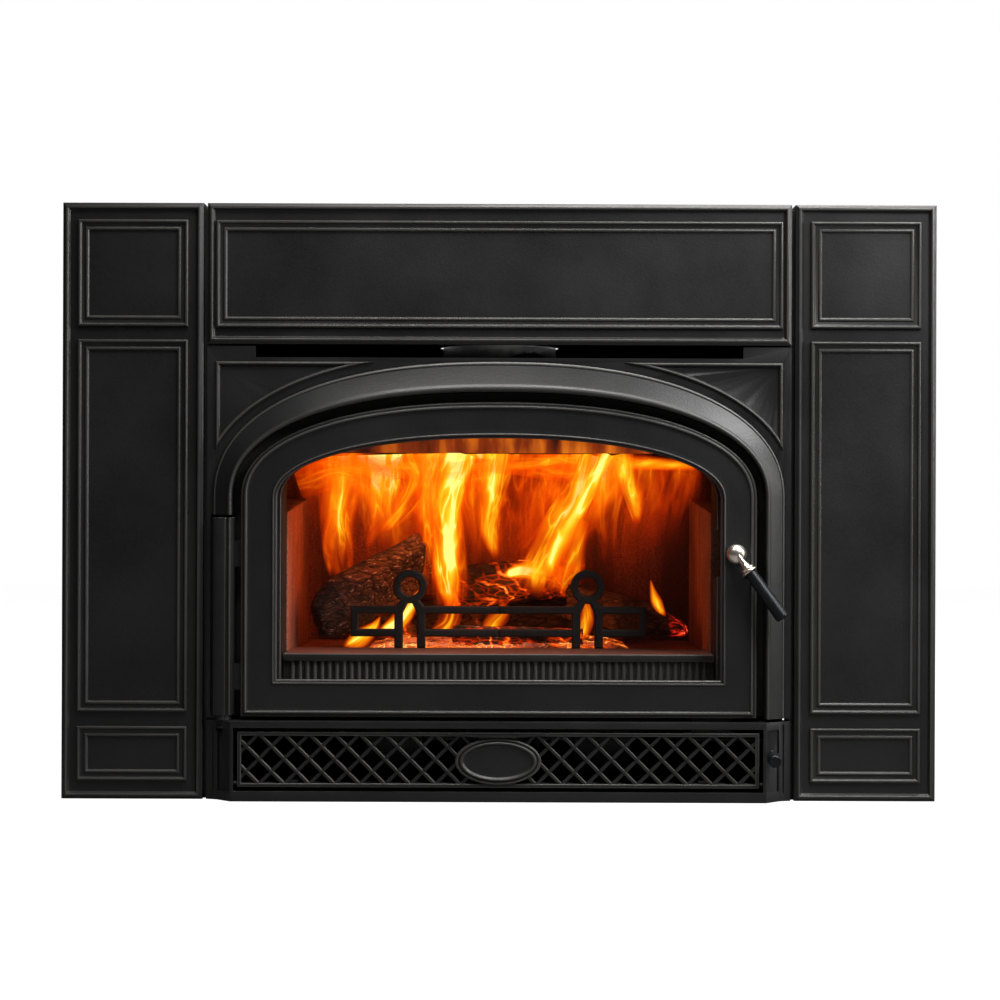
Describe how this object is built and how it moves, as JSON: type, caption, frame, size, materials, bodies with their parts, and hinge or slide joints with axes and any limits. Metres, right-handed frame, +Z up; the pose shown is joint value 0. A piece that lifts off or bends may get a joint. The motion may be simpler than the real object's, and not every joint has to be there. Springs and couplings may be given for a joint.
{
  "type": "fireplace insert",
  "caption": "Cast-iron wood-burning fireplace insert: arched glass door, moulded three-panel surround, lattice grille with a plain oval medallion, andirons, brick-lined firebox and flue collar.",
  "frame": {"origin": "middle of the base, on the plane of the surround's back edges, at the underside of the base pan", "axes": "+X to the right seen from the front, +Y back into the fireplace, +Z up; the front faces -Y"},
  "size_m": [1.067, 0.4826, 0.728],
  "materials": {
    "cast_black": "matt black stove paint on cast iron",
    "steel_black": "matt black heat-proof paint on sheet steel",
    "nickel": "satin nickel",
    "grip_black": "smooth black heat-proof resin",
    "firebrick": "rough fired clay",
    "wood": "charred split logs",
    "rope_grey": "braided glass-fibre rope",
    "zinc_steel": "zinc plated",
    "board": "ceramic fibre board",
    "ceramic_glass": "clear ceramic glass, slightly brown"
  },
  "bodies": {
    "stove": {"surround_left": "cast_black", "surround_right": "cast_black", "surround_top": "cast_black", "facade_plate": "cast_black", "front_frame": "cast_black", "lower_frame": "cast_black", "hearth_ledge": "cast_black", "andirons": "cast_black", "surround_bracket_left": "steel_black", "surround_bracket_right": "steel_black", "door_strike": "steel_black", "air_duct": "steel_black", "firebox_shell": "steel_black", "air_tube_1": "steel_black", "air_tube_2": "steel_black", "air_tube_3": "steel_black", "air_wash_bar": "steel_black", "casing": "steel_black", "base_pan": "steel_black", "flue_collar": "steel_black", "blower_housing_left": "steel_black", "blower_housing_right": "steel_black", "blower_motor": "steel_black", "floor_bricks": "firebrick", "left_brick_front": "firebrick", "left_brick_rear": "firebrick", "right_brick_front": "firebrick", "right_brick_rear": "firebrick", "back_brick_left": "firebrick", "back_brick_middle": "firebrick", "back_brick_right": "firebrick", "log_back": "wood", "log_centre": "wood", "log_left": "wood", "log_right": "wood", "log_front": "wood", "levelling_bolt_left": "zinc_steel", "levelling_bolt_right": "zinc_steel", "baffle_board": "board"},
    "door": {"door_frame": "cast_black", "glass_gasket": "rope_grey", "door_glass": "ceramic_glass", "door_gasket": "rope_grey", "glass_clip_left": "steel_black", "glass_clip_right": "steel_black", "glass_clip_top": "steel_black", "glass_clip_bottom": "steel_black", "hinge_post": "cast_black", "hinge_pin_top": "zinc_steel", "hinge_pin_bottom": "zinc_steel"},
    "handle": {"handle_hub": "nickel", "handle_grip": "grip_black", "latch_shaft": "zinc_steel", "latch_pawl": "steel_black"},
    "grille_panel": {"grille": "cast_black", "grille_hinge_rod": "zinc_steel"},
    "air_control": {"air_knob": "grip_black", "air_slide": "steel_black"},
    "rotor": {"blower_rotor": "zinc_steel"}
  },
  "joints": [
    {"name": "door_swing", "type": "hinge", "parent": "stove", "child": "door", "pos_m": [-0.336, -0.04, 0.224], "axis": [0, 0, 1], "range_deg": [-110, 0]},
    {"name": "handle_turn", "type": "hinge", "parent": "door", "child": "handle", "pos_m": [0.289, -0.047, 0.3015], "axis": [0, -1, 0], "range_deg": [0, 85]},
    {"name": "grille_drop", "type": "hinge", "parent": "stove", "child": "grille_panel", "pos_m": [0, -0.049, 0.021], "axis": [1, 0, 0], "range_deg": [0, 70]},
    {"name": "air_slide", "type": "slide", "parent": "stove", "child": "air_control", "axis": [0, -0.9744, -0.225], "range_m": [0, 0.03]},
    {"name": "blower_spin", "type": "hinge", "parent": "stove", "child": "rotor", "pos_m": [0, 0.07, 0.062], "axis": [1, 0, 0], "continuous": true}
  ]
}
